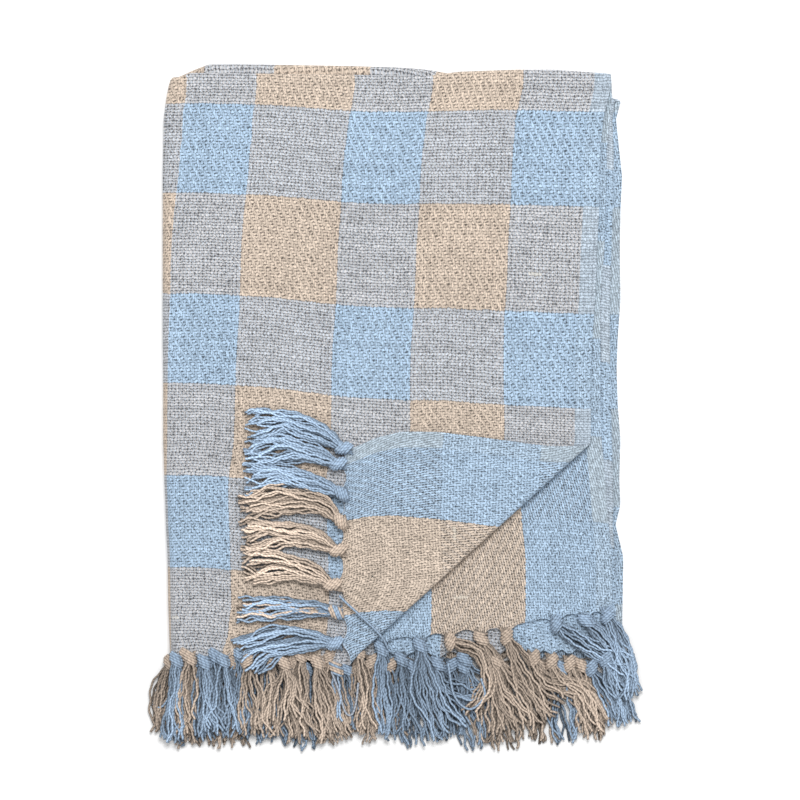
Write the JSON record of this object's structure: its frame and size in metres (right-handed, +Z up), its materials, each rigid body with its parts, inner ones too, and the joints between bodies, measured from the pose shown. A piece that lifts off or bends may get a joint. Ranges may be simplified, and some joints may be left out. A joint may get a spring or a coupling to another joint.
{
  "type": "folded cotton blanket",
  "caption": "Checked woven cotton blanket folded in four and lying flat, one corner turned over, with knotted tassel fringe along both short ends.",
  "frame": {"origin": "centre of the bounding box's bottom face, on the surface the blanket lies on", "axes": "+Z up from that surface; +Y from the fringed hems towards the far fold; +X from the left fold towards the layers' open edges"},
  "size_m": [0.4494, 0.6218, 0.0204],
  "materials": {
    "checked_cloth": "matte woven cotton, blue and beige checks",
    "front_fringe_yarn": "matte plied cotton yarn",
    "corner_fringe_yarn": "matte plied cotton yarn",
    "second_fringe_yarn": "matte plied cotton yarn",
    "third_fringe_yarn": "matte plied cotton yarn",
    "bottom_fringe_yarn": "matte plied cotton yarn"
  },
  "bodies": {
    "root": {"blanket_cloth": "checked_cloth", "front_fringe": "front_fringe_yarn", "corner_fringe": "corner_fringe_yarn", "second_fringe": "second_fringe_yarn", "third_fringe": "third_fringe_yarn", "bottom_fringe": "bottom_fringe_yarn"}
  },
  "joints": []
}
